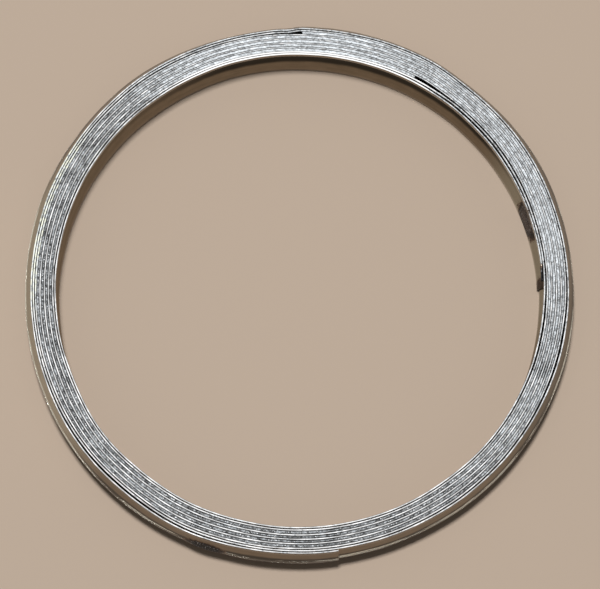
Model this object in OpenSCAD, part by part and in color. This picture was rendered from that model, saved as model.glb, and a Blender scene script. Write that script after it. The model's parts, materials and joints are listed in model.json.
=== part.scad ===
// Spiral wound exhaust gasket: a steel strip with a V section and a graphite
// filler strip, wound together on edge into one flat ring.
// The origin is on the ring's axis, in the plane of its lower sealing face.

/* [Ring] */
// Inside diameter of the innermost turn
bore_d = 59; // [45:0.5:80]
// Height between the two sealing faces
ring_h = 6.4; // [4.5:0.1:8]

/* [Steel strip] */
// Thickness of the strip, measured across the turns
strip_t = 0.2; // [0.15:0.01:0.3]
// Depth of the V pressed outwards into the strip
v_depth = 1.05; // [0.6:0.05:1.4]
// Height of the flat tip of the V
tip_h = 1; // [0.4:0.05:1.5]
// Height of the straight edge above and below the V
edge_h = 0.8; // [0.4:0.05:1.2]
// Gap between bare turns that lie on each other
bare_gap = 0.09; // [0.05:0.01:0.2]

/* [Graphite filler] */
// Thickness of the filler strip
filler_t = 0.32; // [0.2:0.01:0.6]
// Clearance between the filler and the steel on either side
filler_clear = 0.02; // [0.01:0.005:0.05]

/* [Winding] */
// Angle from the strip's inner end to the filler's inner end
filler_from = 420; // [390:2.5:650]
// Angle from the strip's inner end to the filler's outer end
filler_to = 1887.5; // [1200:2.5:2000]
// Angle from the strip's inner end to its outer end
strip_to = 2796.5; // [2500:0.5:3200]
// Angle over which a turn climbs onto the strip's inner end
inner_ramp = 60; // [40:5:80]
// Tightest radius of the steel where it steps over an end of the filler
step_r = 14; // [8:1:18]

/* [Spot welds] */
// Angle from the strip's inner end to the weld that holds it
end_weld = 2; // [2:0.5:6]
// Angle from the strip's inner end to the weld behind it
inner_weld = 17; // [10:1:40]
// Angle from the strip's outer end to the weld that holds it
outer_weld = 28; // [5:1:60]
// Width of a weld along the strip
weld_w = 1.5; // [0.8:0.1:3]
// Height of a weld
weld_h = 0.6; // [0.3:0.05:0.8]

/* [Hidden] */
$fn = 144;
full_turn = 360;
turns = ceil(strip_to / full_turn);

// Radial pitch of bare turns, and how much the filler adds to it
bare_pitch = strip_t + bare_gap;
filler_rise = filler_t + 2 * filler_clear - bare_gap;

// Angle over which a turn steps over an end of the filler, in whole degrees
filler_ramp = ceil(2 * acos(1 - filler_rise / (bore_d - 2 * step_r)));

// A ramp leads a circular path out to a larger radius by two arcs of equal sweep.
// It is given as three changes of radius, each with the angle where it happens.
function ramp(from, sweep, rise) =
    let (change = rise / (2 - 2 * cos(sweep / 2)))
    [
        [from, change],
        [from + sweep / 2, -2 * change * cos(sweep / 2)],
        [from + sweep, change]
    ];

function sorted(list) =
    len(list) < 2 ? list :
    let (middle = list[floor(len(list) / 2)][0])
    concat(
        sorted([for (item = list) if (item[0] < middle) item]),
        [for (item = list) if (item[0] == middle) item],
        sorted([for (item = list) if (item[0] > middle) item])
    );

// Every turn climbs onto the strip's inner end. A turn outside the filler's inner
// end also steps up over that, and one outside its outer end steps down again.
changes = sorted([
    for (wound = [full_turn : full_turn : turns * full_turn])
        each concat(
            ramp(wound - inner_ramp, inner_ramp, bare_pitch),
            ramp(wound + filler_from - filler_ramp, filler_ramp, filler_rise),
            ramp(wound + filler_to, filler_ramp, -filler_rise)
        )
]);

// The path as tangent arcs, each with its start angle, end angle, centre and radius.
// Where two arcs meet, their centres lie on one line with the meeting point.
arcs = [
    for (
        i = 0, from = 0, centre = [0, 0], radius = bore_d / 2;
        i < len(changes);
        from = changes[i][0],
        centre = centre - changes[i][1] * [cos(from), sin(from)],
        radius = radius + changes[i][1],
        i = i + 1
    )
    [from, changes[i][0], centre, radius]
];

// One face of the V from the lower edge to the upper one, in the radial plane
function v_face(x) = [
    [x, 0],
    [x, edge_h],
    [x + v_depth, (ring_h - tip_h) / 2],
    [x + v_depth, (ring_h + tip_h) / 2],
    [x, ring_h - edge_h],
    [x, ring_h]
];

// Section of a strip that starts this far outside the path
module v_section(x, thickness) {
    inner = v_face(x);
    outer = v_face(x + thickness);
    polygon(concat(outer, [for (i = [len(inner) - 1 : -1 : 0]) inner[i]]));
}

// Moves in two steps, a rounded one and the remainder, so that arcs about
// different centres meet exactly
module shift(by) {
    rounded = [for (value = by) round(value * 1000) / 1000];
    translate(rounded) translate(by - rounded) children();
}

// Winds a section along the path between two angles
module wind(from, to) {
    for (arc = arcs) {
        start = max(from, arc[0]);
        end = min(to, arc[1]);
        if (end > start)
            shift(arc[2])
                rotate_extrude(start = start % full_turn, angle = end - start)
                    shift([arc[3], 0])
                        children();
    }
}

// Joins the tip of the turn at this angle to the tip of the next turn out
module spot_weld(at) {
    sweep = weld_w / (PI * bore_d) * full_turn;
    wind(at - sweep / 2, at + sweep / 2)
        translate([v_depth + strip_t / 2, (ring_h - weld_h) / 2])
            square([bare_pitch, weld_h]);
}

module winding_strip() {
    color("silver") {
        wind(0, strip_to)
            v_section(0, strip_t);
        for (at = [end_weld, inner_weld, strip_to - full_turn - outer_weld])
            spot_weld(at);
    }
}

module filler_strip() {
    color("dimgray")
        wind(filler_from, filler_to)
            v_section(strip_t + filler_clear, filler_t);
}

winding_strip();
filler_strip();
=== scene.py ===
import json
import math

import bmesh
import bpy
import numpy as np
from mathutils import Matrix, Vector, noise


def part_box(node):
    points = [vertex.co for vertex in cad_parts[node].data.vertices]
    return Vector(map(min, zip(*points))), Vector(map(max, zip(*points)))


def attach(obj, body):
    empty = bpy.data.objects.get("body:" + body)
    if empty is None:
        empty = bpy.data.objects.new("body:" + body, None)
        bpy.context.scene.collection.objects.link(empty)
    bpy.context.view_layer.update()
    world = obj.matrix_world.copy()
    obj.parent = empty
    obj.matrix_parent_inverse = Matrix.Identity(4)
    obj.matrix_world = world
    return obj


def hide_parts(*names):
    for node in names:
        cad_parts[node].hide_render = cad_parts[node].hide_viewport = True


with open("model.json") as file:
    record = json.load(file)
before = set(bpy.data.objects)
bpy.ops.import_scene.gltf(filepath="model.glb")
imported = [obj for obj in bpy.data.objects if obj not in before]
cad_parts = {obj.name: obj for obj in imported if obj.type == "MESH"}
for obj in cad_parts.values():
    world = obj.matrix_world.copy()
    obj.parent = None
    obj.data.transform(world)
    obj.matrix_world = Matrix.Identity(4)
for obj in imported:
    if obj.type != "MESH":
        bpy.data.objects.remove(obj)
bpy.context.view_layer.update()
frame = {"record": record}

bpy.context.scene.view_settings.view_transform = "Standard"


# Steel winding
# A stainless strip 0.2 mm thick, with a V rolled along its middle, wound on edge for almost
# eight turns. Spot welds near each end hold it to the next turn and leave burnt marks.
mm = 0.001
bore_r = next(m for m in frame["record"]["mounts"] if m["name"] == "bore")["dims"]["r_mm"]
ring_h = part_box("winding_strip")[1][2] / mm
rim_r = 33.4
strip_t = 0.2
bare_gap = 0.09
v_depth = 1.05
tip_h = 1
edge_h = 0.8
strip_to = 2796.5
filler_from = 420
filler_to = 1887.5
filler_rise = 0.27
end_sweep = 60
filler_end_sweep = 16
nearby = 0.01
edge_band = 0.2
face_band = 0.001
v_bends = (edge_h, (ring_h - tip_h) / 2, (ring_h + tip_h) / 2, ring_h - edge_h)


def outwards(degrees):
    """The level direction out from the ring's middle at an angle."""
    return Vector((math.cos(math.radians(degrees)), math.sin(math.radians(degrees)), 0))


def climb(start, sweep, rise):
    """Where a turn changes radius, and by how much, as two equal arcs lead it out by a rise."""
    half = math.cos(math.radians(sweep / 2))
    change = rise / (2 - 2 * half)
    return [(start, change), (start + sweep / 2, -2 * change * half), (start + sweep, change)]


changes = []
for wound in range(360, math.ceil(strip_to) + 360, 360):
    changes += climb(wound - end_sweep, end_sweep, strip_t + bare_gap)
    filler_start = wound + filler_from - filler_end_sweep
    changes += climb(filler_start, filler_end_sweep, filler_rise)
    changes += climb(wound + filler_to, filler_end_sweep, -filler_rise)

arcs = []
angle, centre, radius = 0, Vector((0, 0, 0)), bore_r
for next_angle, change in sorted(changes):
    arcs.append((angle, next_angle, centre, radius))
    centre = centre - change * outwards(next_angle)
    angle, radius = next_angle, radius + change


def pick(piece, wanted):
    """Selects the points of a piece in edit mode that lie where they are wanted."""
    points = bmesh.from_edit_mesh(piece.data)
    points.select_mode = {"VERT"}
    for point in points.verts:
        point.select = wanted(point.co)
    points.select_flush_mode()
    bmesh.update_edit_mesh(piece.data)


def press_section(inside, thick, worn):
    """The outline of a strip's section, drawn flat: its height along Y, its V pressed to +X."""
    bpy.ops.object.select_all(action="DESELECT")
    bpy.ops.mesh.primitive_plane_add(size=1)
    section = bpy.context.object
    section.scale = (thick, ring_h, 1)
    section.location = (inside + thick / 2, ring_h / 2, 0)
    bpy.ops.object.transform_apply()
    bpy.ops.object.mode_set(mode="EDIT")
    for height in v_bends:
        bpy.ops.mesh.select_all(action="SELECT")
        bpy.ops.mesh.bisect(plane_co=(0, height, 0), plane_no=(0, 1, 0))
    pick(section, lambda co: v_bends[1] - nearby < co.y < v_bends[2] + nearby)
    bpy.ops.transform.translate(value=(v_depth, 0, 0))
    bpy.ops.mesh.select_all(action="SELECT")
    bpy.ops.mesh.dissolve_faces()
    pick(section, lambda co: v_bends[1] - nearby < co.y < v_bends[2] + nearby)
    bpy.ops.mesh.bevel(offset=0.49, segments=3, affect="VERTICES")
    pick(section, lambda co: min(abs(co.y - v_bends[0]), abs(co.y - v_bends[3])) < nearby)
    bpy.ops.mesh.bevel(offset=0.2, segments=2, affect="VERTICES")
    pick(section, lambda co: co.y < nearby or co.y > ring_h - nearby)
    bpy.ops.mesh.bevel(offset=worn, segments=1, affect="VERTICES")
    bpy.ops.mesh.select_all(action="SELECT")
    bpy.ops.mesh.delete(type="ONLY_FACE")
    bpy.ops.object.mode_set(mode="OBJECT")
    return section


def wind(name, section, start, end, step):
    """Sweeps a section along the winding. Gives the piece, its points and their wound angles."""
    _, _, middle, radius = next(arc for arc in arcs if arc[0] <= start < arc[1])
    begin = middle + radius * outwards(start)
    bpy.ops.object.convert(target="CURVE")
    bpy.ops.object.select_all(action="DESELECT")
    bpy.ops.mesh.primitive_plane_add(size=1, location=begin)
    piece = bpy.context.object
    piece.name = name
    bpy.ops.object.transform_apply()
    bpy.ops.object.mode_set(mode="EDIT")
    bpy.ops.mesh.select_all(action="SELECT")
    bpy.ops.mesh.merge(type="CENTER")
    turned = [start]
    for first, last, middle, _ in arcs:
        first, last = max(first, start), min(last, end)
        if last > first:
            steps = math.ceil((last - first) / step)
            sweep = math.radians(last - first)
            bpy.ops.mesh.spin(steps=steps, angle=sweep, center=middle, axis=(0, 0, -1))
            turned += [first + (last - first) * (i + 1) / steps for i in range(steps)]
    bpy.ops.object.mode_set(mode="OBJECT")
    bpy.ops.object.convert(target="CURVE")
    piece.data.dimensions = "2D"
    piece.data.bevel_mode = "OBJECT"
    piece.data.bevel_object = section
    bpy.ops.object.convert(target="MESH")
    bpy.ops.object.mode_set(mode="EDIT")
    bpy.ops.mesh.select_all(action="SELECT")
    bpy.ops.mesh.fill_holes(sides=0)
    bpy.ops.mesh.select_all(action="SELECT")
    bpy.ops.mesh.normals_make_consistent(inside=False)
    bpy.ops.object.mode_set(mode="OBJECT")
    bpy.data.objects.remove(section)
    points = np.empty(3 * len(piece.data.vertices))
    piece.data.vertices.foreach_get("co", points)
    return piece, points.reshape(-1, 3), np.repeat(turned, len(points) // 3 // len(turned))


# Where the winding was pressed out of round: angle, reach to either side, and how far the bore's
# edges, the rim's edges and the rim's ridge moved. The last seven press the ridge alone, on the
# left, lower and right sides, where it stands out less than the CAD's.
presses = (
    (28, 26, 0.0, 0.14, 0.24),
    (79, 22, -0.06, -0.14, 0.0),
    (125, 22, -0.05, 0.14, 0.26),
    (176, 38, 0.0, -0.32, -0.05),
    (200, 10, -0.08, 0.0, 0.0),
    (216, 12, 0.16, 0.0, 0.0),
    (243, 16, 0.05, 0.15, -0.05),
    (273, 34, 0.0, -0.05, -0.22),
    (319, 16, 0.10, 0.0, 0.0),
    (349, 12, -0.06, 0.0, 0.0),
    (180, 30, 0.0, 0.0, -0.42),
    (210, 30, 0.0, 0.0, -0.42),
    (240, 30, 0.0, 0.0, -0.32),
    (270, 30, 0.0, 0.0, -0.26),
    (300, 30, 0.0, 0.0, -0.48),
    (330, 30, 0.0, 0.0, -0.32),
    (360, 30, 0.0, 0.0, -0.15),
)


def swell(away, reach):
    """1 at a place, falling smoothly to 0 at its reach to either side."""
    return np.where(abs(away) < reach, 0.5 + 0.5 * np.cos(math.pi * away / reach), 0)


def lean_at(heights):
    """The share of the V's depth at each height."""
    return np.interp(heights, (0, *v_bends, ring_h), (0, 0, 1, 1, 0, 0))


def press_out_of_round(points):
    """Moves points as the whole winding was pressed, so that neighbouring turns stay apart."""
    theta = np.arctan2(points[:, 1], points[:, 0])
    radius = np.hypot(points[:, 0], points[:, 1])
    lean = lean_at(points[:, 2])
    share = np.clip((radius - lean * v_depth - bore_r) / (rim_r - bore_r), 0, 1)
    moved = np.zeros(len(points))
    for at, reach, at_bore, at_rim, at_ridge in presses:
        away = (np.degrees(theta) - at + 180) % 360 - 180
        outer = at_rim + (at_ridge - at_rim) * lean
        moved += swell(away, reach) * (at_bore + (outer - at_bore) * share)
    for i, (a, s) in enumerate(zip(theta, share)):
        moved[i] += 0.04 * noise.noise(Vector((6 * math.cos(a), 6 * math.sin(a), 1.5 * s)))
    points[:, 0] += moved * np.cos(theta)
    points[:, 1] += moved * np.sin(theta)


def finish_strip(piece, points, turned, material):
    """Writes the points back in metres, with the wound angle that the material follows."""
    piece.data.vertices.foreach_set("co", (points * mm).ravel())
    piece.data.attributes.new("wound", "FLOAT", "POINT").data.foreach_set("value", turned)
    piece.data.update()
    bpy.ops.object.shade_smooth_by_angle(angle=math.radians(35))
    piece.data.materials.append(material)


class Wire:
    """One shader socket that takes part in Python arithmetic."""

    def __init__(self, tree, socket=None):
        self.tree = tree
        self.socket = socket

    def node(self, kind, settings, sockets, output=0):
        """Adds a node to the material: its settings, then the values or links of its sockets."""
        made = self.tree.nodes.new("ShaderNode" + kind)
        for name, value in settings.items():
            if name == "stops":
                while len(made.color_ramp.elements) < len(value):
                    made.color_ramp.elements.new(1)
                for stop, (place, colour) in zip(made.color_ramp.elements, value):
                    stop.position = place
                    stop.color = (*colour, 1)
            else:
                setattr(made, name, value)
        for name, value in sockets.items():
            if isinstance(value, Wire):
                self.tree.links.new(value.socket, made.inputs[name])
            else:
                made.inputs[name].default_value = value
        return Wire(self.tree, made.outputs[output])

    def math(self, operation, first, second=0.0):
        return self.node("Math", {"operation": operation}, {0: first, 1: second})

    def __add__(self, other):
        return self.math("ADD", self, other)

    __radd__ = __add__

    def __sub__(self, other):
        return self.math("SUBTRACT", self, other)

    def __rsub__(self, other):
        return self.math("SUBTRACT", other, self)

    def __mul__(self, other):
        return self.math("MULTIPLY", self, other)

    __rmul__ = __mul__

    def __truediv__(self, other):
        return self.math("DIVIDE", self, other)

    def __pow__(self, other):
        return self.math("POWER", self, other)

    def __mod__(self, other):
        return self.math("FLOORED_MODULO", self, other)

    def __abs__(self):
        return self.math("ABSOLUTE", self)

    def step(self, low, high):
        """Rises smoothly from 0 at the low value to 1 at the high one."""
        smooth = {"interpolation_type": "SMOOTHSTEP"}
        return self.node("MapRange", smooth, {0: self, 1: low, 2: high})

    def mix(self, low, high):
        """A colour between two, with this value as the share of the second."""
        return self.node("Mix", {"data_type": "RGBA"}, {0: self, 6: low, 7: high}, 2)


def new_finish(name):
    """A material with its shader, and wires for the place on the winding in millimetres."""
    material = bpy.data.materials.new(name)
    material.use_nodes = True
    start = Wire(material.node_tree)
    place = start.node("TexCoord", {}, {}, "Object")
    place = place.node("VectorMath", {"operation": "SCALE"}, {0: place, "Scale": 1 / mm})
    apart = {"Vector": place}
    x, y, z = (place.node("SeparateXYZ", {}, apart, axis) for axis in "XYZ")
    wound = start.node("Attribute", {"attribute_name": "wound"}, {}, "Fac")
    return material, material.node_tree.nodes["Principled BSDF"], (x * x + y * y) ** 0.5, wound, z


def speckle(wire, across, along, up, detail):
    """Noise with its own fineness across the turns, along the strip and upwards, per millimetre."""
    vector = wire.node("CombineXYZ", {}, {0: across, 1: along, 2: up})
    return wire.node("TexNoise", {}, {
        "Vector": vector, "Scale": 1.0, "Detail": detail, "Roughness": 0.6})


def stretch(wound, middle, reach, fade):
    """1 on a stretch of every turn about an angle, fading to 0 past both of its ends."""
    return 1 - abs((wound + (540.0 - middle)) % 360.0 - 180).step(reach, reach + fade)


def smear_and_sheen_turns(wound):
    """The share of graphite smeared over the upper face, on two stretches of every turn, where it
    is also painted lighter as painted sheen.
    """
    smear_and_sheen = stretch(wound, 66, 50, 22) + 0.7 * stretch(wound, 348, 14, 30)
    return smear_and_sheen.math("MINIMUM", smear_and_sheen, 1.0)


def plug(material, shader, wires):
    """Links wires to the named sockets of a material's shader."""
    for socket, wire in wires.items():
        material.node_tree.links.new(wire.socket, shader.inputs[socket])


mm_per_degree = 0.55
steel, shader, out, wound, height = new_finish("rolled_stainless")
along = wound * mm_per_degree
from_middle = abs(height - ring_h / 2)
streaks = speckle(height, out * 2, along * 0.06, height * 11, 3)
scuffs = speckle(height, out * 1.5, along * 0.5, height * 1.2, 4)
# The walls' streaks follow the rolling; their dark brown tone is a painted reflection of a dark
# brown floor in shade.
wall = (streaks * 0.6 + scuffs * 0.4).step(0.3, 0.7)
wall = wall.mix((0.185, 0.15, 0.11, 1), (0.262, 0.213, 0.158, 1))

# The walls carry painted light. A dark band along the V's ridge and groove is painted shade, where
# the deep groove and the shaded floor it mirrors look dark. The first and last turns are painted a
# lighter grey on one side of the ring as painted light. The last one has painted shade on its right
# side, and painted glints in dashes along its ridge.
first = 1 - wound.step(360, 361)
last = wound.step(strip_to - 361, strip_to - 360)
# Painted light: a lighter grey on one side of the first and last turns.
painted_lit_side = stretch(wound, 184, 22, 20) * last + 0.7 * stretch(wound, 10, 14, 16) * first
wall = painted_lit_side.mix(wall, (0.41, 0.41, 0.35, 1))
# Painted shade: the last turn's wall is darker on the right side of the ring.
wall = (0.6 * stretch(wound, 12, 36, 24) * last).mix(wall, (0.075, 0.068, 0.05, 1))
# Painted shade: a dark band along the V's ridge and groove.
painted_ridge_shade = (1 - (from_middle + (scuffs - 0.5) * 0.2).step(1.1, 1.5)) * (1 - painted_lit_side)
painted_ridge_shade = painted_ridge_shade * (1 - 0.7 * first * (1 - stretch(wound, 72, 32, 26)))
wall = (painted_ridge_shade * 0.95).mix(wall, (0.035, 0.032, 0.027, 1))
# Painted glints: dashes along the last turn's ridge, more of them on four stretches.
glint_dashes = speckle(height, out, along * 0.3, height * 5, 3)
for middle, reach in ((188, 24), (284, 5), (308, 8), (342, 6)):
    glint_dashes = glint_dashes + 0.13 * stretch(wound, middle, reach, 8)
glint_dashes = glint_dashes.step(0.52, 0.62) * last
ledge = ring_h / 2 + 0.64 + (scuffs - 0.5) * 0.3
# The painted glint colour lies in a cream band on the ridge's upper side.
painted_glint = glint_dashes * (1 - abs(height - ledge).step(0.26, 0.44))
wall = painted_glint.mix(wall, (0.95, 0.90, 0.76, 1))

# The sheared edges are bright, apart from where graphite was smeared over them. The outer turns
# are frayed on the left.
sheared = from_middle.step(ring_h / 2 - 0.07, ring_h / 2 - 0.04)
smear_and_sheen = smear_and_sheen_turns(wound)
touching = stretch(wound, 88, 24, 14) * (1 - wound.step(490, 500))
smears = speckle(height, out * 4, along * 2, height, 3)
frayed = stretch(wound, 163, 14, 10) * wound.step(1900, 1910)
smears = (smears + smear_and_sheen * 0.12 - touching * 0.3 + frayed * 0.11).step(0.52, 0.66) * sheared
bright = (scuffs + touching * 0.3).step(0.35, 0.65)
bright = bright.mix((0.48, 0.48, 0.48, 1), (0.86, 0.86, 0.86, 1))
bright = frayed.mix(bright, (0.74, 0.745, 0.64, 1))
colour = sheared.mix(wall, bright)
flakes = speckle(height, out * 3.8, along * 2.2, height * 4, 4).step(0.36, 0.60)
flakes = flakes.mix((0.20, 0.207, 0.214, 1), (0.70, 0.735, 0.76, 1))
colour = (smears * 0.85).mix(colour, flakes)

# Each weld's burn, and one patch of painted shade at the inner end: the wound angle, the height of
# its middle, half its length and height, and how dark it is, which for a weld is how far it was
# burnt.
inner_weld_at = 16.6
outer_weld_at = 2768.6
bore_mm_per_degree = 0.52
burn_marks_and_shade = (
    (0.2, 5.7, 1.6, 0.9, 0.78),
    # Painted shade, not a weld: black on the lower flank at the inner end, below the melted lip.
    (0.0, 1.5, 1.2, 1.3, 0.42),
    (inner_weld_at, 2.9, 2.2, 2.6, 1.0),
    (outer_weld_at, 3.8, 1.9, 0.9, 0.78),
)
blotches = speckle(height, out, along * 2.4, height * 2, 4)
burn_and_shade = 0.0
for at, middle, half_length, half_height, darkness in burn_marks_and_shade:
    away = ((wound - at) * (bore_mm_per_degree / half_length)) ** 2.0
    away = away + ((height - middle) / half_height) ** 2.0
    burn_and_shade = darkness * (1 - (away ** 0.5 + (blotches - 0.5) * 0.9).step(0.7, 1.5)) + burn_and_shade
burn_and_shade = burn_and_shade.math("MINIMUM", burn_and_shade, 1.0)
# The tint runs from heat tint to black and lightens in each middle; its darkest ring is partly
# painted shade of the crevice round the weld lump.
tint = burn_and_shade.node("ValToRGB", {"stops": (
    (0.0, (0.26, 0.21, 0.165)), (0.25, (0.12, 0.078, 0.055)), (0.5, (0.03, 0.019, 0.014)),
    (0.78, (0.014, 0.014, 0.017)), (0.92, (0.03, 0.022, 0.018)),
    (1.0, (0.105, 0.082, 0.078)))}, {0: burn_and_shade})
colour = burn_and_shade.step(0.0, 0.25).mix(colour, tint)
spatter = speckle(height, out * 2, along * 5, height * 5, 2).step(0.60, 0.66) * burn_and_shade.step(0.5, 0.7)
colour = spatter.mix(colour, (0.56, 0.56, 0.58, 1))
below = ledge - height
raised = glint_dashes * below.step(-0.25, 0.25) * (1 - below.step(0.3, 1.5))
relief = streaks * 0.1 + burn_and_shade * blotches * 9 + spatter * 2 + raised * 14
relief = relief.node("Bump", {}, {"Strength": 1.0, "Distance": 0.00003, "Height": relief})
rough = 0.10 + 0.12 * streaks + 0.45 * sheared + 0.5 * burn_and_shade - 0.25 * spatter + 0.3 * painted_glint
metal = (1 - 0.9 * burn_and_shade) * (1 - 0.8 * painted_glint)
plug(steel, shader, {
    "Base Color": colour, "Metallic": metal, "Roughness": rough, "Normal": relief})

winding, points, turned = wind("steel_winding", press_section(0, strip_t, 0.05), 0, strip_to, 1.25)
around_turn = len(points) // len(set(turned))
first_row = points[:around_turn]
lean = lean_at(first_row[:, 2])
bore_side = np.hypot(first_row[:, 0], first_row[:, 1]) - bore_r - v_depth * lean < strip_t / 2

# Turns that sprang in or out by themselves: wound angle, reach to either side and shift.
loose_turns = (
    (345, 25, -0.04), (705, 30, 0.06), (155, 40, -0.04), (452, 34, -0.04),
    (400, 32, 0.10), (756, 34, 0.16), (1125, 40, 0.12), (1485, 40, 0.07), (1845, 40, 0.06),
    (2025, 38, -0.05), (2385, 38, -0.03), (2745, 38, 0.08),
    (2252.6, 5.1, -0.17), (2257, 8, -0.08), (2612.6, 5.1, -0.17), (2617, 8, -0.08),
    (2285, 25, 0.03), (2145, 32, -0.08), (2480, 45, 0.05),
)


def spring(turned):
    """How far the steel at each wound angle stands off its place in the winding."""
    shift = np.zeros(len(turned))
    for at, reach, by in loose_turns:
        shift += by * swell(turned - at, reach)
    wander = np.interp(turned, (720, 900, 1800, 1950), (0.02, 0.05, 0.05, 0.02))
    return shift + wander * np.array([noise.noise(Vector((a * 0.04, 5.0, 0.0))) for a in turned])


def stand_off(points, shift):
    """Moves points outwards by a shift of their own."""
    points[:, :2] *= 1 + (shift / np.hypot(points[:, 0], points[:, 1]))[:, None]


# The sheared edges are worn to flats of uneven width, wide where the first two turns rub together
# and where the outer turns are frayed.
for edge in (points[:, 2] > ring_h - face_band, points[:, 2] < face_band):
    flats = points[edge, :2].reshape(-1, 2, 2)
    at = turned[edge][::2]
    wide = 1 + 0.7 * np.array([noise.noise(Vector((a * 0.25, 2.0, 0.0))) for a in at])
    wide += 0.8 * (at < 480) * np.clip((38 - abs(at % 360 - 88)) / 14, 0, 1)
    wide += 0.7 * (at > 1900) * np.clip((24 - abs(at % 360 - 163)) / 10, 0, 1)
    middle = flats.mean(axis=1, keepdims=True)
    wide = np.clip(wide, 0.4, 1.9)[:, None, None]
    points[edge, :2] = (middle + (flats - middle) * wide).reshape(-1, 2)

# Weld metal fills the groove of the first turn behind its end, and stands up on the ridge of the
# last turn. The upper lip of the inner end is melted down.
lump_h = 0.14
fill_share = 0.9
ragged_h = 0.025
melted_from, melted_share, melted_sweep = 4.8, 0.45, 3.5
lumps = np.array([0.9 + 0.3 * noise.noise(Vector(point) * 1.4) for point in points])
filled = np.clip((4.6 - abs(turned - inner_weld_at)) / 1.3, 0, 1)
filled = filled * np.resize(lean * bore_side, len(points))
heaped = np.clip(1 - ((turned - outer_weld_at) / 4) ** 2, 0, 1)
heaped = heaped * np.resize(lean ** 3 * ~bore_side, len(points))
press_out_of_round(points)
stand_off(points, spring(turned) + lumps * (lump_h * heaped - fill_share * v_depth * filled))
for point, a in zip(points, turned):
    ragged = 0.5 + 0.5 * noise.noise(Vector((a * 0.35, 7.0, 0.0)))
    if point[2] > ring_h - edge_band:
        point[2] -= ragged_h * ragged
    elif point[2] < edge_band:
        point[2] += ragged_h * (1 - ragged)
    point[2] -= melted_share * max(0, 1 - a / melted_sweep) * max(0, point[2] - melted_from)
finish_strip(winding, points, turned, steel)
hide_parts("winding_strip")
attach(winding, "root")


# Graphite filler
# A strip of flexible graphite, pressed from flakes to the same V and laid between the steel turns.
# It is held by the winding alone, and its two ends are cut off blunt.
filler_t = 0.32
filler_clear = 0.02
crumbled_h = 0.07

graphite, shader, out, wound, height = new_finish("pressed_graphite")
along = wound * mm_per_degree
flakes = speckle(height, out * 4.2, along * 2.4, height * 4, 4)
glints = speckle(height, out * 7, along * 5.5, height * 6, 2)
clouds = speckle(height, out * 1.2, along * 0.35, height, 3)
drift = wound + (clouds - 0.5) * 50
# Where graphite is smeared it is smoother and painted lighter: partly smeared graphite, partly
# painted sheen.
smear_and_sheen = smear_and_sheen_turns(drift) + 0.3 * stretch(drift, 92, 14, 14)
tone = (flakes - 0.5) * (0.88 - 0.3 * smear_and_sheen) + clouds * 0.12 + smear_and_sheen * 0.07 + 0.435
colour = tone.node("ValToRGB", {"stops": (
    (0.37, (0.055, 0.056, 0.058)), (0.46, (0.19, 0.195, 0.20)),
    (0.55, (0.36, 0.38, 0.395)), (0.63, (0.62, 0.655, 0.685)))}, {0: tone})
glint = glints.step(0.58, 0.68) * (1 - 0.5 * smear_and_sheen)
colour = glint.mix(colour, (0.82, 0.84, 0.86, 1))
relief = flakes + glints * 0.4
relief = relief.node("Bump", {}, {"Strength": 0.5, "Distance": 0.00006, "Height": relief})
shader.inputs["Metallic"].default_value = 0.6
rough = 0.68 - 0.15 * smear_and_sheen - 0.15 * glint
plug(graphite, shader, {"Base Color": colour, "Roughness": rough, "Normal": relief})

section = press_section(strip_t + filler_clear, filler_t, 0.07)
bpy.ops.object.mode_set(mode="EDIT")
pick(section, lambda co: co.y > ring_h - face_band or co.y < face_band)
bpy.ops.mesh.subdivide(number_cuts=3)
bpy.ops.object.mode_set(mode="OBJECT")
filler, points, turned = wind("graphite_filler", section, filler_from, filler_to, 0.7)

# The filler follows the turn inside it and the turn outside it, wherever those sprang.
around_turn = len(points) // len(set(turned))
first_row = points[:around_turn]
lean = lean_at(first_row[:, 2])
depth = np.hypot(first_row[:, 0], first_row[:, 1]) - v_depth * lean
across = np.clip((depth - depth.min()) / (depth.max() - depth.min()), 0, 1)
across = np.resize(np.where(lean > 0, across.round(), across), len(points))
press_out_of_round(points)
stand_off(points, (1 - across) * spring(turned) + across * spring(turned + 360))

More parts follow.
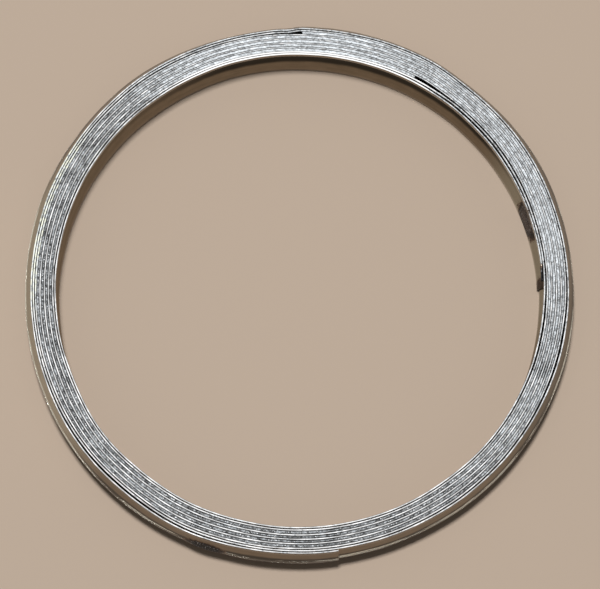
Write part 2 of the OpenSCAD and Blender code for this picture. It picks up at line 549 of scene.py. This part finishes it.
# Its upper edge is crumbled, apart from the stretch where it was smeared out flat.
smeared = np.clip((78 - abs((turned - 60 + 180) % 360 - 180)) / 22, 0, 1)
for row, flat in zip(points.reshape(-1, around_turn, 3), smeared[::around_turn]):
    top_edge = row[:, 2] > ring_h - edge_band
    middle = row[top_edge, :2].mean(axis=0)
    shrunk = 0.8 * (1 - flat) * max(0, noise.noise(Vector((*middle * 0.5, 3.0))))
    row[top_edge, :2] += (middle - row[top_edge, :2]) * shrunk
    top_face = row[:, 2] > ring_h - face_band
    row[top_face, :2] += (row[top_face, :2] - middle) * 0.5 * flat
for point, flat in zip(points, smeared):
    crumbled = 0.5 + 0.5 * noise.noise(Vector(point) * 2.2)
    if point[2] > ring_h - edge_band:
        point[2] -= crumbled_h * crumbled * (1 - 0.6 * flat)
    elif point[2] < edge_band:
        point[2] += crumbled_h * crumbled
finish_strip(filler, points, turned, graphite)
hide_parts("filler_strip")
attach(filler, "root")


# Floor, light and camera
# A plain pale floor under the ring, one soft lamp almost overhead, and a camera
# that looks down on the ring from a little in front.
bpy.ops.object.select_all(action="DESELECT")
bpy.ops.mesh.primitive_plane_add(size=6)
floor = bpy.context.object
floor.name = "floor"
floor_paint = bpy.data.materials.new("floor_paint")
floor_paint.use_nodes = True
shader = floor_paint.node_tree.nodes["Principled BSDF"]
shader.inputs["Base Color"].default_value = (0.61, 0.485, 0.38, 1)
shader.inputs["Roughness"].default_value = 0.9
floor.data.materials.append(floor_paint)

lamp_at = Vector((-0.025, 0.05, 0.65))
bpy.ops.object.light_add(type="AREA", location=lamp_at)
lamp = bpy.context.object
lamp.rotation_euler = lamp_at.to_track_quat("Z", "Y").to_euler()
lamp.data.size = 0.09
lamp.data.energy = 3.0

world = bpy.data.worlds.new("studio")
bpy.context.scene.world = world
world.use_nodes = True
world.node_tree.nodes["Background"].inputs["Color"].default_value = (1, 0.98, 0.95, 1)
world.node_tree.nodes["Background"].inputs["Strength"].default_value = 0.12

eye = Vector((-5.759, -78.759, 328.619)) * mm
ahead = (Vector((0.089, -1.1285, 6.4)) * mm - eye).normalized()
side = ahead.cross(Vector((0, 1, 0))).normalized()
upright = side.cross(ahead)
roll = -0.0313
right = math.cos(roll) * side + math.sin(roll) * upright
top = math.cos(roll) * upright - math.sin(roll) * side
bpy.ops.object.camera_add()
camera = bpy.context.object
camera.matrix_world = Matrix.Translation(eye) @ Matrix((right, top, -ahead)).transposed().to_4x4()
camera.data.sensor_fit = "HORIZONTAL"
camera.data.sensor_width = 36
camera.data.lens = 164.06
camera.data.clip_start = 0.01
bpy.context.scene.camera = camera
